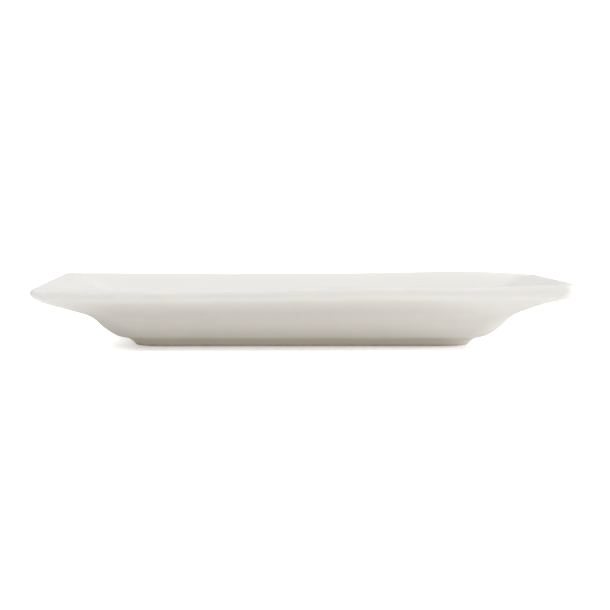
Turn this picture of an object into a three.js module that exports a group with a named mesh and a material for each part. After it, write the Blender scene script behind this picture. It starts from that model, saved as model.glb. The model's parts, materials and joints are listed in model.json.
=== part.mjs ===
// A rectangular china serving platter: a flat-floored well, a curved wall, a wide sloping rim with a
// gently waved edge, and a low foot ring with a bare standing edge.
//
// Frame: millimetres, +Z up, +X along the length. The origin is the middle of the footprint, on the
// table plane. The front edge is at -Y and the back edge at +Y.
//
// Every level of the platter is a rounded rectangle, drawn a given "inset" in from the outer edge.
// A section is a list of [inset, height] points, and a piece is the loft of the rectangles along it.

import * as THREE from "three";

// Driving dimensions.
const LENGTH = 350;
const WIDTH = 240;
const LIP_HEIGHT = 41.4; // crown of the lip above the table, before the wave
const FLOOR_HEIGHT = 11.2; // upper face of the well's floor
const BASE_HEIGHT = 5.3; // underside of the well, and so the height of the foot
const GLAZE_LINE = 1.2; // the foot is bare china below this height

// Insets where one zone meets the next.
const WAVE_INSET = 14; // the rim's wave has its full height out from here
const BASE_INSET = 56; // the wave is gone, and the flat underside begins
const FLOOR_INSET = 66; // the well's floor is flat in from here

// The lip is blunter at the +X corners: its lower half swells down, and a share of that outwards.
const SWELLING_STARTS = 0.5; // share of the way to the +X end
const OUTWARD_SHARE = 0.65;

// Kiln warp: how far each long edge of the lip stands above LIP_HEIGHT, at places along its length
// from -1 (the -X corner) to 1 (the +X corner). The short edges go straight from one to the other.
const FRONT_WAVE = [
  [-1, 0],
  [-0.5, -0.6],
  [0, 0.6],
  [0.45, 1.5],
  [0.8, 1.9],
  [1, 3.9],
];
const BACK_WAVE = [
  [-1, 0.1],
  [-0.5, -0.6],
  [0, -0.6],
  [0.45, 0.3],
  [0.72, 0.9],
  [1, -1.7],
];

// Corner radius of the rounded rectangle at an inset: crisp at the lip, rounder at the wall.
const CORNER_RADIUS = [
  [0, 7],
  [20, 11],
  [34, 16],
  [46, 24],
  [BASE_INSET, 21],
  [72, 16],
];

// The body's section, from the floor's edge up and out over the lip, and back under to the base.
// A third number is how far the point swells down at the +X end.
const INNER_WALL = [
  [FLOOR_INSET, FLOOR_HEIGHT],
  [60, 11.4],
  [54.5, 12.7],
  [50, 15.0],
  [45.8, 18.5],
  [41.8, 22.6],
  [37, 26.6],
];
const RIM_TOP = [
  [29, 30.7],
  [20, 34.9],
  [11, 38.9],
];
const LIP = [
  [6.5, 40.6],
  [3.2, LIP_HEIGHT],
  [1, 40.9],
  [0, 39.2],
  [0.6, 36.5, 0.9],
  [2.5, 34.4, 1.7],
  [5, 32.9, 1.7],
];
const RIM_UNDERSIDE = [
  [9.5, 31.0, 1.2],
  [20, 27.2],
  [28, 24.3],
  [33, 22.1],
];
const OUTER_WALL = [
  [37.2, 19.0],
  [41, 14.6],
  [46.5, 9.5],
  [50.3, 7.0],
  [53, 6.0],
  [BASE_INSET, BASE_HEIGHT],
];
const BODY_SECTION = [...INNER_WALL, ...RIM_TOP, ...LIP, ...RIM_UNDERSIDE, ...OUTER_WALL];

// The foot's section, down its outside and up its inside, with a flat face to stand on.
const FOOT_SECTION = [
  [57, BASE_HEIGHT],
  [58.6, 4.4],
  [60.6, 2.9],
  [62.3, GLAZE_LINE],
  [63.1, 0.3],
  [63.7, 0],
  [67.2, 0],
  [67.8, 0.3],
  [68.2, GLAZE_LINE],
  [69, 2.8],
  [71.6, BASE_HEIGHT],
];

// How finely the curves are stepped.
const CORNER_STEPS = 5;
const LONG_EDGE_STEPS = 12;
const SHORT_EDGE_STEPS = 8;
const STEPS_PER_SECTION_POINT = 2;

// The slope of a table of [position, value] rows at one of its rows.
function slopeAt(table, row) {
  const [fromPosition, fromValue] = table[Math.max(row - 1, 0)];
  const [toPosition, toValue] = table[Math.min(row + 1, table.length - 1)];
  return (toValue - fromValue) / (toPosition - fromPosition);
}

// A table read at any position along it, as one smooth cubic curve through its rows.
function readTable(table, position) {
  const next = Math.max(1, table.findIndex(([rowPosition]) => rowPosition >= position));
  const [fromPosition, fromValue] = table[next - 1];
  const [toPosition, toValue] = table[next];
  const span = toPosition - fromPosition;
  const t = (position - fromPosition) / span;
  const left = 1 - t;
  const values = fromValue * left * left * (1 + 2 * t) + toValue * t * t * (3 - 2 * t);
  const slopes = slopeAt(table, next - 1) * t * left * left - slopeAt(table, next) * t * t * left;
  return values + span * slopes;
}

// How far the rim's wave lifts a point of the surface.
function waveAt(x, y, inset) {
  const along = THREE.MathUtils.clamp(x / (LENGTH / 2), -1, 1);
  const towardsBack = y / WIDTH + 0.5;
  const front = readTable(FRONT_WAVE, along);
  const back = readTable(BACK_WAVE, along);
  const t = THREE.MathUtils.clamp((inset - WAVE_INSET) / (BASE_INSET - WAVE_INSET), 0, 1);
  const fade = (1 - t * t) ** 2;
  return fade * THREE.MathUtils.lerp(front, back, towardsBack);
}

// The rounded rectangle at an inset, anticlockwise from +X. It always has the same number of points.
function outline(inset) {
  const radius = readTable(CORNER_RADIUS, inset);
  const x = LENGTH / 2 - inset - radius;
  const y = WIDTH / 2 - inset - radius;
  const centres = [[x, y], [-x, y], [-x, -y], [x, -y]];
  const corners = centres.map(([centreX, centreY], quarter) => {
    const start = (quarter * Math.PI) / 2;
    const end = start + Math.PI / 2;
    return new THREE.EllipseCurve(centreX, centreY, radius, radius, start, end).getPoints(CORNER_STEPS);
  });
  return corners.flatMap((corner, quarter) => {
    const nextCorner = corners[(quarter + 1) % corners.length];
    const edge = new THREE.LineCurve(corner.at(-1), nextCorner[0]);
    const steps = quarter % 2 === 0 ? LONG_EDGE_STEPS : SHORT_EDGE_STEPS;
    return [...corner, ...edge.getPoints(steps).slice(1, -1)];
  });
}

// How much of the lip's swelling there is at x: none over most of the length, all at the +X end.
function swellingAt(x) {
  const along = x / (LENGTH / 2);
  return THREE.MathUtils.clamp((along - SWELLING_STARTS) / (1 - SWELLING_STARTS), 0, 1) ** 2;
}

// One ring of a loft: the outline at an inset and a height, with the rim's wave and the blunter lip.
function ring([inset, height, fullSwelling = 0]) {
  return outline(inset).map(({ x, y }) => {
    const swelling = fullSwelling * swellingAt(x);
    const lift = waveAt(x, y, inset) - swelling;
    return new THREE.Vector3(x + OUTWARD_SHARE * swelling, y, height + lift);
  });
}

// A section with more points, along one smooth curve through the ones that it has.
function smoothSection(section) {
  const points = section.map(([inset, height, fullSwelling = 0]) => {
    return new THREE.Vector3(inset, height, fullSwelling);
  });
  const steps = STEPS_PER_SECTION_POINT * (section.length - 1);
  return new THREE.CatmullRomCurve3(points).getPoints(steps).map(({ x, y, z }) => [x, y, z]);
}

// The two triangles of each quad between one ring and the next, as numbers of points.
function band(around, fromRing, toRing) {
  const triangles = [];
  for (let i = 0; i < around; i += 1) {
    const next = (i + 1) % around;
    const from = fromRing * around;
    const to = toRing * around;
    triangles.push(from + i, to + i, to + next);
    triangles.push(from + i, to + next, from + next);
  }
  return triangles;
}

// A flat lid over one ring: a fan of triangles around a middle point, facing up or down.
function lid(around, ringNumber, middle, facesUp) {
  const triangles = [];
  for (let i = 0; i < around; i += 1) {
    const here = ringNumber * around + i;
    const next = ringNumber * around + ((i + 1) % around);
    triangles.push(middle, facesUp ? here : next, facesUp ? next : here);
  }
  return triangles;
}

function geometryOf(points, triangles) {
  const geometry = new THREE.BufferGeometry().setFromPoints(points);
  geometry.setIndex(triangles);
  geometry.computeVertexNormals();
  return geometry;
}

// The dish: rings along the whole section, closed by the well's floor and its underside.
function platterBody() {
  const rings = smoothSection(BODY_SECTION).map(ring);
  const around = rings[0].length;
  const last = rings.length - 1;
  const floorMiddle = new THREE.Vector3(0, 0, FLOOR_HEIGHT);
  const baseMiddle = new THREE.Vector3(0, 0, BASE_HEIGHT);
  const points = [...rings.flat(), floorMiddle, baseMiddle];
  const triangles = rings.slice(1).flatMap((_, i) => band(around, i, i + 1));
  triangles.push(...lid(around, 0, points.length - 2, true));
  triangles.push(...lid(around, last, points.length - 1, false));
  return geometryOf(points, triangles);
}

// The part of the foot between two heights: a ring that closes on itself.
function footBand(lowest, highest) {
  const section = FOOT_SECTION.filter(([, height]) => height >= lowest && height <= highest);
  const rings = section.map(ring);
  const around = rings[0].length;
  const triangles = rings.flatMap((_, i) => band(around, i, (i + 1) % rings.length));
  return geometryOf(rings.flat(), triangles);
}

const glazedChina = { color: 0xefeee9, roughness: 0.12, metalness: 0 };
const bareChina = { color: 0xe6dfd0, roughness: 0.75, metalness: 0 };

function subPart(name, geometry, finish) {
  const mesh = new THREE.Mesh(geometry, new THREE.MeshStandardMaterial(finish));
  mesh.name = name;
  return mesh;
}

const platter = new THREE.Group();
platter.add(
  subPart("platter_body", platterBody(), glazedChina),
  subPart("foot_ring", footBand(GLAZE_LINE, BASE_HEIGHT), glazedChina),
  subPart("standing_edge", footBand(0, GLAZE_LINE), bareChina),
);

export default platter;
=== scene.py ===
"""A rectangular white china serving platter, standing on a white table under soft studio light.

Sizes are in millimetres and become metres when a mesh is made. Every level of the platter is a
rounded rectangle, drawn a given "inset" in from the outer edge. A section is a list of
(inset, height) points, and a piece is the loft of the rectangles along it.
"""
import json
import math

import bpy
import numpy as np
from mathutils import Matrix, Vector


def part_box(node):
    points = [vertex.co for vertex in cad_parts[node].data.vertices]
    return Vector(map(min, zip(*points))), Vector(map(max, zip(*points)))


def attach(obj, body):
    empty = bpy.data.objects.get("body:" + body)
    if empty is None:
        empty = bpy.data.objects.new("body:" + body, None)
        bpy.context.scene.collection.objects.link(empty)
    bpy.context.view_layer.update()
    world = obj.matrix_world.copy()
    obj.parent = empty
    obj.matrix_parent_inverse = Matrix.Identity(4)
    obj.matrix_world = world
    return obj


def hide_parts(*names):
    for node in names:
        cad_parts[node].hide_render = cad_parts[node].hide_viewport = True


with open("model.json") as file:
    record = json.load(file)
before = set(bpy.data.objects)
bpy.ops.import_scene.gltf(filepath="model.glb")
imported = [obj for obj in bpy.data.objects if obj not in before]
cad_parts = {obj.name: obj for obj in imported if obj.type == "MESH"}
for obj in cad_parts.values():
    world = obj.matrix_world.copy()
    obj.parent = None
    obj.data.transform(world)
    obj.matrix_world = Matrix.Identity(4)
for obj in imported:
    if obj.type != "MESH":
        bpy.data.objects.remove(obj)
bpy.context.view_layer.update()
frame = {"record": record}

MM = 0.001  # one millimetre, in metres
BODY = "root"

# ---------------------------------------------------------------- sizes from the frame

BODY_LOW, BODY_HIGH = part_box("platter_body")
LENGTH = (BODY_HIGH.x - BODY_LOW.x) / MM
WIDTH = (BODY_HIGH.y - BODY_LOW.y) / MM
BASE_HEIGHT = BODY_LOW.z / MM
GLAZE_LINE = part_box("standing_edge")[1].z / MM
WELL_MOUNT = next(m for m in frame["record"]["mounts"] if m["name"] == "well_floor")
FLOOR_HEIGHT = WELL_MOUNT["pos_m"][2] / MM

# ---------------------------------------------------------------- the platter's form

LIP_HEIGHT = 41.4
SWELLING_STARTS = 0.5  # the lip gets blunter past this share of the way from the middle to +X
OUTWARD_SHARE = 0.65  # the lip's lower half swells down there, and this share of it outwards
WAVE_INSET = 14  # the rim's wave has its full height out from here
BASE_INSET = 56  # the wave is gone, and the flat underside begins
FLOOR_INSET = 66  # the well's floor is flat in from here
MIDDLE_INSET = WIDTH / 2  # the outline has shrunk to a line here
FLOOR_SLUMP = 0.35  # how far the middle of the floor sank in the kiln

# Kiln warp: how far each long edge of the lip stands above LIP_HEIGHT, at places along its length
# from -1 (the -X corner) to 1 (the +X corner).
FRONT_WAVE = [(-1, 0), (-0.5, -0.6), (0, 0.6), (0.45, 1.5), (0.8, 1.9), (1, 3.9)]
BACK_WAVE = [(-1, 0.1), (-0.5, -0.6), (0, -0.6), (0.45, 0.3), (0.72, 0.9), (1, -1.7)]

# Corner radius of the rounded rectangle at an inset: crisp at the lip, rounder at the wall.
CORNER_RADIUS = [(0, 7), (20, 11), (34, 16), (46, 24), (BASE_INSET, 21), (72, 16), (90, 10),
                 (MIDDLE_INSET, 0)]

# The body's section, from the floor's edge up and out over the lip, and back under to the base.
# A third number is how far a point swells down at the +X end.
INNER_WALL = [(FLOOR_INSET, FLOOR_HEIGHT), (60, 11.4), (54.5, 12.7), (50, 15.0), (45.8, 18.5),
              (41.8, 22.6), (37, 26.6)]
RIM_TOP = [(29, 30.7), (20, 34.9), (11, 38.9)]
LIP = [(6.5, 40.6), (3.2, LIP_HEIGHT), (1, 40.9), (0, 39.2), (0.6, 36.5, 0.9), (2.5, 34.4, 1.7),
       (5, 32.9, 1.7)]
RIM_UNDERSIDE = [(9.5, 31.0, 1.2), (20, 27.2), (28, 24.3), (33, 22.1)]
OUTER_WALL = [(37.2, 19.0), (41, 14.6), (46.5, 9.5), (50.3, 7.0), (53, 6.0),
              (BASE_INSET, BASE_HEIGHT)]
BODY_SECTION = INNER_WALL + RIM_TOP + LIP + RIM_UNDERSIDE + OUTER_WALL

# The foot's section above and below the glaze line. The bare china is a glaze's thickness slimmer.
GLAZE = 0.15
GLAZE_ENDS_OUTSIDE = 62.3
GLAZE_ENDS_INSIDE = 68.2
FOOT_OUTSIDE = [(56.4, BASE_HEIGHT), (58.6, 4.4), (60.6, 2.9), (GLAZE_ENDS_OUTSIDE, GLAZE_LINE)]
FOOT_INSIDE = [(GLAZE_ENDS_INSIDE, GLAZE_LINE), (69, 2.8), (71.6, BASE_HEIGHT)]
BARE_OUTSIDE = [(GLAZE_ENDS_OUTSIDE + GLAZE, GLAZE_LINE), (63.1, 0.35), (63.8, 0)]
BARE_INSIDE = [(67.1, 0), (67.7, 0.35), (GLAZE_ENDS_INSIDE - GLAZE, GLAZE_LINE)]

# How thin the glaze is drawn, and with it painted light: from 0 (pooled, painted shade) to 1 (thinnest,
# painted highlight).
FLAT_GLAZE_AND_LIGHT = 0.5
FOOT_GLAZE_AND_LIGHT = 0.55
GLAZE_AND_LIGHT_PER_CURVATURE = 3  # mm: added where the section bulges, taken off where it is hollow
GLAZE_AND_LIGHT_SMOOTHING = 5  # points of the section that it is averaged over

# How finely the curves are stepped.
CORNER_STEPS = 16
LONG_EDGE_STEPS = 84
SHORT_EDGE_STEPS = 56
STEPS_PER_POINT = 7
FLAT_FACE_RINGS = 14


# ---------------------------------------------------------------- curves and lofts

def cubic_through(knots, values, at):
    """The natural cubic spline through values (one row for each knot), read at the places in at."""
    knots, values, at = (np.asarray(a, float) for a in (knots, values, at))
    gaps = np.diff(knots)
    slopes = (np.diff(values, axis=0).T / gaps).T
    count = len(knots)
    matrix = np.eye(count)
    right = np.zeros_like(values)
    for i in range(1, count - 1):
        matrix[i, i - 1:i + 2] = gaps[i - 1], 2 * (gaps[i - 1] + gaps[i]), gaps[i]
        right[i] = 6 * (slopes[i] - slopes[i - 1])
    bend = np.linalg.solve(matrix, right)
    i = np.clip(np.searchsorted(knots, at) - 1, 0, count - 2)
    shape = (-1,) + (1,) * (values.ndim - 1)
    gap = gaps[i].reshape(shape)
    past = (at - knots[i]).reshape(shape)
    left = gap - past
    return (
        (bend[i] * left**3 + bend[i + 1] * past**3) / (6 * gap)
        + (values[i] / gap - bend[i] * gap / 6) * left
        + (values[i + 1] / gap - bend[i + 1] * gap / 6) * past
    )


def read_table(table, at):
    """A table of (place, value) rows, read at any places along the smooth curve through them."""
    knots, values = zip(*table)
    return cubic_through(knots, values, at)


def smooth_section(section):
    """A section with more points, along the smooth curve through the ones that it has."""
    points = np.array([point if len(point) == 3 else (*point, 0) for point in section], float)
    chord = np.r_[0, np.cumsum(np.hypot(*np.diff(points[:, :2], axis=0).T))]
    steps = STEPS_PER_POINT * (len(section) - 1)
    at = np.interp(np.arange(steps + 1) / STEPS_PER_POINT, np.arange(len(section)), chord)
    return [tuple(row) for row in cubic_through(chord, points, at)]


def wave_at(x, y, inset):
    """How far the rim's wave lifts the surface."""
    along = np.clip(x / (LENGTH / 2), -1, 1)
    towards_back = y / WIDTH + 0.5
    front = read_table(FRONT_WAVE, along)
    back = read_table(BACK_WAVE, along)
    t = np.clip((inset - WAVE_INSET) / (BASE_INSET - WAVE_INSET), 0, 1)
    return (front + (back - front) * towards_back) * (1 - t * t) ** 2


def outline(inset):
    """The rounded rectangle at an inset, anticlockwise from +X, always with as many points."""
    radius = read_table(CORNER_RADIUS, [inset])[0]
    x = LENGTH / 2 - inset - radius
    y = WIDTH / 2 - inset - radius
    corners = []
    for quarter, (cx, cy) in enumerate(((x, y), (-x, y), (-x, -y), (x, -y))):
        turn = (quarter + np.linspace(0, 1, CORNER_STEPS + 1)) * math.pi / 2
        corners.append(np.column_stack((cx + radius * np.cos(turn), cy + radius * np.sin(turn))))
    runs = []
    for quarter, corner in enumerate(corners):
        start, end = corner[-1], corners[(quarter + 1) % 4][0]
        steps = LONG_EDGE_STEPS if quarter % 2 == 0 else SHORT_EDGE_STEPS
        share = np.linspace(0, 1, steps + 1)[1:-1, None]
        runs += [corner, start + (end - start) * share]
    return np.vstack(runs)


def ring(inset, height, full_swelling=0):
    """The outline at an inset and a height, with the rim's wave and the blunter lip added."""
    x, y = outline(inset).T
    along = x / (LENGTH / 2)
    swelling = full_swelling * np.clip((along - SWELLING_STARTS) / (1 - SWELLING_STARTS), 0, 1) ** 2
    lift = wave_at(x, y, inset) - swelling
    return np.column_stack((x + OUTWARD_SHARE * swelling, y, height + lift))


def band(around, from_ring, to_ring):
    """The quads between one ring and another."""
    here = np.arange(around)
    following = np.roll(here, -1)
    quads = np.column_stack((
        from_ring * around + here,
        to_ring * around + here,
        to_ring * around + following,
        from_ring * around + following,
    ))
    return quads.tolist()


def new_piece(name, points, faces, thin_glaze_and_light=None):
    """A smooth-shaded piece in metres, with its glaze's thinness and painted light: one number, or one
    for each point.
    """
    mesh = bpy.data.meshes.new(name)
    mesh.from_pydata((points * MM).tolist(), [], faces)
    mesh.shade_smooth()
    if thin_glaze_and_light is not None:
        layer = mesh.attributes.new("glaze_thinness_and_painted_light", "FLOAT", "POINT")
        layer.data.foreach_set("value", np.full(len(points), thin_glaze_and_light, np.float32))
    piece = bpy.data.objects.new(name, mesh)
    bpy.context.scene.collection.objects.link(piece)
    return piece


# ---------------------------------------------------------------- pieces

def flat_stations(height, outer_inset, slump):
    """Stations from the middle of a flat face out to outer_inset, sinking by slump in the middle."""
    middle = MIDDLE_INSET - 1  # just short of where the outline is a line
    stations = []
    for step in range(FLAT_FACE_RINGS):
        share = (step + 1) / (FLAT_FACE_RINGS + 1)
        inset = middle + (outer_inset - middle) * share
        stations.append((inset, height - slump * (1 - share * share) ** 2))
    return stations


def thin_glaze_and_light_along(section):
    """Glaze thinness along a section, which also paints light: thin and painted lighter where it
    bulges, pooled and painted darker where it is hollow.
    """
    points = np.array([row[:2] for row in section])
    before = points - np.roll(points, 1, axis=0)
    after = np.roll(points, -1, axis=0) - points
    turn = before[:, 0] * after[:, 1] - before[:, 1] * after[:, 0]
    before_length = np.hypot(*before.T)
    after_length = np.hypot(*after.T)
    lengths = before_length * after_length * (before_length + after_length) / 2
    bulge = turn / np.maximum(lengths, 1e-6)
    bulge[[0, -1]] = 0
    window = np.ones(GLAZE_AND_LIGHT_SMOOTHING) / GLAZE_AND_LIGHT_SMOOTHING
    smooth = np.convolve(bulge, window, mode="same")
    return np.clip(FLAT_GLAZE_AND_LIGHT + smooth * GLAZE_AND_LIGHT_PER_CURVATURE, 0, 1)


def make_body():
    """The dish, from the middle of the well's floor, out over the lip, to the middle of the base."""
    section = smooth_section(BODY_SECTION)
    floor = flat_stations(FLOOR_HEIGHT, FLOOR_INSET, FLOOR_SLUMP)
    base = flat_stations(BASE_HEIGHT, BASE_INSET, 0)[::-1]
    rings = [ring(*station) for station in floor + section + base]
    around = len(rings[0])
    faces = [quad for i in range(len(rings) - 1) for quad in band(around, i, i + 1)]
    last = (len(rings) - 1) * around
    faces.append(list(range(around)))
    faces.append(list(range(last + around - 1, last - 1, -1)))
    thin_glaze_and_light = np.full(len(rings), FLAT_GLAZE_AND_LIGHT)
    thin_glaze_and_light[len(floor):-len(base)] = thin_glaze_and_light_along(section)
    return new_piece("glazed_body", np.vstack(rings), faces, np.repeat(thin_glaze_and_light, around))


def make_foot_band(name, outside, inside, thin_glaze_and_light=None):
    """A ring that closes on itself: down its outside, across, and up its inside."""
    section = smooth_section(outside) + smooth_section(inside)
    rings = [ring(*station) for station in section]
    around = len(rings[0])
    faces = [quad for i in range(len(rings)) for quad in band(around, i, (i + 1) % len(rings))]
    return new_piece(name, np.vstack(rings), faces, thin_glaze_and_light)


# ---------------------------------------------------------------- materials

class Tree:
    """A node tree, with short ways to add and join nodes."""

    def __init__(self, node_tree):
        self.nodes = node_tree.nodes
        self.links = node_tree.links

    def add(self, kind, **settings):
        node = self.nodes.new(kind)
        for key, value in settings.items():
            setattr(node, key, value)
        return node

    def math(self, operation, *values):
        """A Math node. Each value may be a socket or a plain float."""
        node = self.add("ShaderNodeMath", operation=operation)
        for socket, value in zip(node.inputs, values):
            if isinstance(value, float):
                socket.default_value = value
            else:
                self.links.new(value, socket)
        return node.outputs["Value"]

    def scale(self, colour, factor):
        """A plain colour times a socket."""
        node = self.add("ShaderNodeVectorMath", operation="SCALE")
        node.inputs[0].default_value = colour
        self.links.new(factor, node.inputs["Scale"])
        return node.outputs["Vector"]

    def remap(self, value, from_range, to_range=(0.0, 1.0)):
        """A socket taken from one range to another, and held within it."""
        node = self.add("ShaderNodeMapRange", clamp=True)
        node.inputs["From Min"].default_value, node.inputs["From Max"].default_value = from_range
        node.inputs["To Min"].default_value, node.inputs["To Max"].default_value = to_range
        self.links.new(value, node.inputs["Value"])
        return node.outputs["Result"]

    def blend(self, factor, a, b, mode="MIX"):
        """Colour a turned towards colour b. Each may be a socket or a plain colour."""
        node = self.add("ShaderNodeMix", data_type="RGBA", blend_type=mode)
        if isinstance(factor, float):
            node.inputs["Factor"].default_value = factor
        else:
            self.links.new(factor, node.inputs["Factor"])
        for socket, colour in (("A", a), ("B", b)):
            target = next(i for i in node.inputs if i.name == socket and i.type == "RGBA")
            if isinstance(colour, tuple):
                target.default_value = (*colour, 1)
            else:
                self.links.new(colour, target)
        return next(o for o in node.outputs if o.type == "RGBA")


class Shader(Tree):
    """A material's tree. Sizes in it are in metres."""

    def __init__(self, name):
        self.material = bpy.data.materials.new(name)
        self.material.use_nodes = True
        super().__init__(self.material.node_tree)
        self.surface = self.nodes["Principled BSDF"]
        self.coordinates = self.add("ShaderNodeTexCoord").outputs["Object"]

    def set(self, **constants):
        """Constants on the shader's own sockets, whose names have _ for a space here."""
        for socket, value in constants.items():
            self.surface.inputs[socket.replace("_", " ")].default_value = value

    def attribute(self, name):
        return self.add("ShaderNodeAttribute", attribute_name=name).outputs["Fac"]

    def noise(self, size, detail):
        """Noise from 0 to 1 with features of about a size."""
        node = self.add("ShaderNodeTexNoise")
        node.inputs["Scale"].default_value = 1 / size
        node.inputs["Detail"].default_value = detail
        self.links.new(self.coordinates, node.inputs["Vector"])
        return node.outputs["Fac"]

    def bump(self, height, distance, strength, under=None):
        """A normal from a height, laid over the one under it."""
        node = self.add("ShaderNodeBump")
        node.inputs["Distance"].default_value = distance
        node.inputs["Strength"].default_value = strength
        self.links.new(height, node.inputs["Height"])
        if under:
            self.links.new(under, node.inputs["Normal"])
        return node.outputs["Normal"]

    def plug(self, output, socket):
        self.links.new(output, self.surface.inputs[socket])


def shade_of(colour, share):
    """A plain colour with a share of its light."""
    return tuple(channel * share for channel in colour)


def glazed_china(name, pooled_shaded, thin_lit):
    """White china under a clear gloss glaze: one colour where it pools, darker as painted shade, and
    one where it is thin, lighter as a painted highlight.
    """
    shader = Shader(name)
    # Painted light, partly glaze pooling: hollows are darker and warmer as painted shade, bulges
    # lighter as a painted highlight.
    thin_glaze_and_light = shader.remap(shader.attribute("glaze_thinness_and_painted_light"), (0.25, 0.8))
    colour = shader.blend(thin_glaze_and_light, pooled_shaded, thin_lit)
    cloud = shader.remap(shader.noise(size=0.045, detail=3.0), (0.35, 0.65), (0.0, 0.5))
    colour = shader.blend(cloud, colour, shade_of(thin_lit, 0.985))
    shader.plug(colour, "Base Color")
    roughness = shader.remap(shader.noise(size=0.02, detail=4.0), (0.3, 0.7), (0.29, 0.36))
    shader.plug(roughness, "Roughness")
    swell = shader.bump(shader.noise(size=0.035, detail=1.0), distance=0.00022, strength=0.6)
    orange_peel = shader.noise(size=0.0028, detail=1.5)
    shader.plug(shader.bump(orange_peel, distance=0.00002, strength=0.5, under=swell), "Normal")
    shader.set(IOR=1.45, Coat_Weight=0.4, Coat_Roughness=0.09, Coat_IOR=1.5)
    shader.set(Subsurface_Weight=0.12, Subsurface_Radius=(1.0, 0.85, 0.65), Subsurface_Scale=0.0015)
    return shader.material


def bare_china(name, clay_and_shade, worn):
    """Fired china without glaze: fine dry grain, a little grey where it has rubbed on tables. Its clay
    colour is partly its own and partly darkened as painted shade.
    """
    shader = Shader(name)
    rubbed = shader.remap(shader.noise(size=0.006, detail=4.0), (0.42, 0.66), (0.0, 0.8))
    colour = shader.blend(rubbed, clay_and_shade, worn)
    grain = shader.noise(size=0.0005, detail=2.0)
    specks = shader.remap(grain, (0.60, 0.75), (0.0, 0.5))
    shader.plug(shader.blend(specks, colour, shade_of(clay_and_shade, 0.8)), "Base Color")
    shader.plug(shader.remap(grain, (0.3, 0.7), (0.65, 0.85)), "Roughness")
    shader.plug(shader.bump(grain, distance=0.00008, strength=0.6), "Normal")
    shader.set(IOR=1.45)
    return shader.material


# ---------------------------------------------------------------- the platter

# The body is whitest where its glaze is thin and darker where it pools, partly as painted highlight and
# painted shade. The foot's glaze is a darker, warmer white, nearly even all over, as painted shade.
BODY_POOLED_SHADED = (0.840, 0.826, 0.792)
BODY_THIN_LIT = (0.870, 0.865, 0.840)
# Painted shade: the foot's glaze is darker and warmer than the body's, where the foot sits in shade.
FOOT_POOLED_PAINTED_SHADE = (0.765, 0.725, 0.66)
FOOT_THIN_PAINTED_SHADE = (0.755, 0.72, 0.655)
# The bare clay is partly its own grey-beige and partly darkened as painted shade at the contact line.
BARE_CLAY_AND_CONTACT_SHADE = (0.66, 0.61, 0.53)
WORN_CLAY = (0.52, 0.49, 0.44)

PIECES = (
    (
        make_body(),
        glazed_china("glazed_china", BODY_POOLED_SHADED, BODY_THIN_LIT),
        "platter_body",
        "glazed_china",
    ),
    (
        make_foot_band("glazed_foot", FOOT_OUTSIDE, FOOT_INSIDE, FOOT_GLAZE_AND_LIGHT),
        glazed_china("foot_glaze", FOOT_POOLED_PAINTED_SHADE, FOOT_THIN_PAINTED_SHADE),
        "foot_ring",
        "foot_glaze",
    ),
    (
        make_foot_band("bare_standing_edge", BARE_OUTSIDE, BARE_INSIDE),
        bare_china("bare_china", BARE_CLAY_AND_CONTACT_SHADE, WORN_CLAY),
        "standing_edge",
        "bare_china",
    ),
)

for piece, material, node, slot in PIECES:
    piece.data.materials.append(material)
    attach(piece, BODY)
    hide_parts(node)

# ---------------------------------------------------------------- stage and light

PLAIN_WHITE = (1.0, 1.0, 1.0)

# The table glows as a lit white table does, and more for the camera: least next to the foot, where
# a shadow shows, and most well away from it, where shadows wash out.
TABLE_SIZE = 60.0  # metres: it reaches the horizon in every view
TABLE_GLOW = 0.14
TABLE_BOUNCE = (1.0, 0.92, 0.84)  # the warm light that it gives the platter
CAMERA_GLOW = (0.18, 0.62)

# Where shadows start to wash out along each axis, and over how far, in metres.
FOOT_LENGTH, FOOT_WIDTH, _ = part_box("foot_ring")[1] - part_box("foot_ring")[0]
FADES = (
    ("X", FOOT_LENGTH / 2 - 0.015, 0.03),
    ("Y", FOOT_WIDTH / 2 + 0.01, 0.10),
)

# The dome's light at its brightest: high over the front, high over the left, and low in front.
DOME_FRONT = (3.66, 3.69, 3.71)
DOME_LEFT = (2.21, 2.24, 2.27)
HORIZON_FRONT = (1.71, 1.56, 1.31)
BACKDROP = (1.05, 1.05, 1.05)  # what the camera sees past the table

# Where those zones begin and end, as sines of elevation.
HORIZON_TOP = 0.26  # 15 degrees
DOME_STARTS = 0.574  # 35 degrees
DOME_PEAK = 0.866  # 60 degrees

CAMERA_PLACE = (-0.0065, -1.5696, 0.1176)
CAMERA_DOWN = 3.405  # degrees below the horizon
CAMERA_TURN = -0.319  # degrees about +Z, from straight along +Y


def make_table():
    half = TABLE_SIZE / 2
    corners = [(-half, -half, 0), (half, -half, 0), (half, half, 0), (-half, half, 0)]
    mesh = bpy.data.meshes.new("floor")
    mesh.from_pydata(corners, [], [(0, 1, 2, 3)])
    table = bpy.data.objects.new("floor", mesh)
    bpy.context.scene.collection.objects.link(table)
    shader = Shader("white_table")
    axes = shader.add("ShaderNodeSeparateXYZ")
    shader.links.new(shader.coordinates, axes.inputs["Vector"])
    past_foot = [
        shader.remap(shader.math("ABSOLUTE", axes.outputs[axis]), (start, start + distance))
        for axis, start, distance in FADES
    ]
    washed_out = shader.remap(shader.math("MAXIMUM", *past_foot), (0.0, 1.0), CAMERA_GLOW)
    seen = shader.add("ShaderNodeLightPath").outputs["Is Camera Ray"]
    glow = shader.math("ADD", shader.math("MULTIPLY", seen, washed_out), TABLE_GLOW)
    shader.plug(glow, "Emission Strength")
    shader.plug(shader.blend(seen, TABLE_BOUNCE, PLAIN_WHITE), "Emission Color")
    shader.set(Base_Color=(0.9, 0.9, 0.9, 1), Roughness=0.9)
    mesh.materials.append(shader.material)


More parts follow.
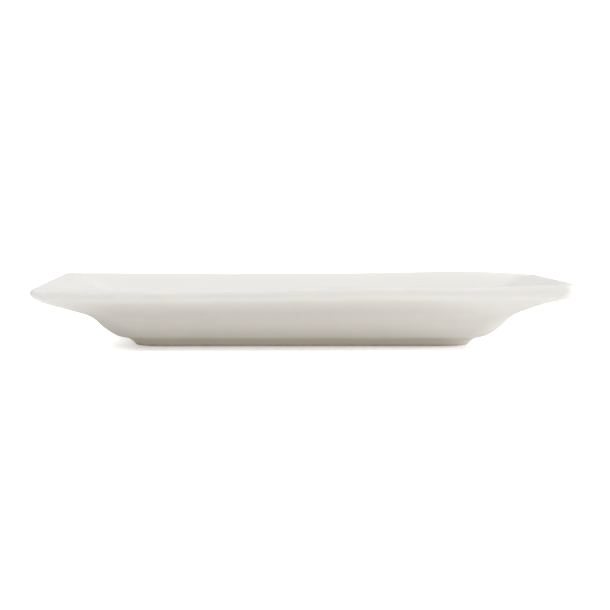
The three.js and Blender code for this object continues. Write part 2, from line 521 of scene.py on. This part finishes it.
def softbox(name, azimuth, elevation, distance, size, power, colour):
    """A rectangular light facing the platter. Azimuth 0 is +X and 90 is +Y, in degrees."""
    light = bpy.data.lights.new(name, "AREA")
    light.shape = "RECTANGLE"
    light.size, light.size_y = size
    light.energy = power
    light.color = colour
    turn, rise = math.radians(azimuth), math.radians(elevation)
    away = Vector((math.cos(turn) * math.cos(rise), math.sin(turn) * math.cos(rise), math.sin(rise)))
    lamp = bpy.data.objects.new(name, light)
    lamp.location = away * distance
    lamp.rotation_euler = away.to_track_quat("Z", "Y").to_euler()
    lamp.visible_camera = False
    bpy.context.scene.collection.objects.link(lamp)


def make_world():
    """A big soft dome: brightest high up in front and to the left, with a warm horizon in front."""
    world = bpy.data.worlds.new("studio")
    bpy.context.scene.world = world
    world.use_nodes = True
    tree = Tree(world.node_tree)
    direction = tree.add("ShaderNodeTexCoord").outputs["Generated"]
    axes = tree.add("ShaderNodeSeparateXYZ")
    tree.links.new(direction, axes.inputs["Vector"])
    x, y, z = axes.outputs
    level = tree.math("SQRT", tree.math("SUBTRACT", 1.0, tree.math("MULTIPLY", z, z)))
    front = tree.remap(tree.math("DIVIDE", y, level), (0.0, -1.0))
    left = tree.remap(tree.math("DIVIDE", x, level), (0.0, -1.0))
    rising = tree.remap(z, (DOME_STARTS, DOME_PEAK))
    falling = tree.remap(z, (DOME_PEAK, 1.0), (1.0, 0.0))
    overhead = tree.math("MULTIPLY", rising, falling)
    horizon = tree.remap(z, (0.0, HORIZON_TOP), (1.0, 0.0))
    light = (0.0, 0.0, 0.0)
    for zone, side, colour in (
        (overhead, front, DOME_FRONT),
        (overhead, left, DOME_LEFT),
        (horizon, front, HORIZON_FRONT),
    ):
        share = tree.math("MULTIPLY", zone, side)
        light = tree.blend(1.0, light, tree.scale(colour, share), "ADD")
    seen = tree.add("ShaderNodeLightPath").outputs["Is Camera Ray"]
    background = world.node_tree.nodes["Background"]
    tree.links.new(tree.blend(seen, light, BACKDROP), background.inputs["Color"])


def make_camera():
    data = bpy.data.cameras.new("camera")
    data.sensor_width = 36
    data.lens = 133.95
    data.clip_end = 100
    camera = bpy.data.objects.new("camera", data)
    camera.location = CAMERA_PLACE
    camera.rotation_euler = (math.radians(90 - CAMERA_DOWN), 0, math.radians(CAMERA_TURN))
    bpy.context.scene.collection.objects.link(camera)
    bpy.context.scene.camera = camera


make_table()
make_world()
softbox("side_right", 0, 12.5, 2.05, (2.0, 0.8), 27.5, (0.95, 0.97, 1))
softbox("back_high", 90, 53, 2.5, (3.0, 1.5), 11.2, (1, 0.96, 0.91))
softbox("back_wall", 90, 21.6, 2.58, (5.0, 1.8), 22.6, (1, 0.96, 0.94))
make_camera()
bpy.context.scene.view_settings.view_transform = "Standard"
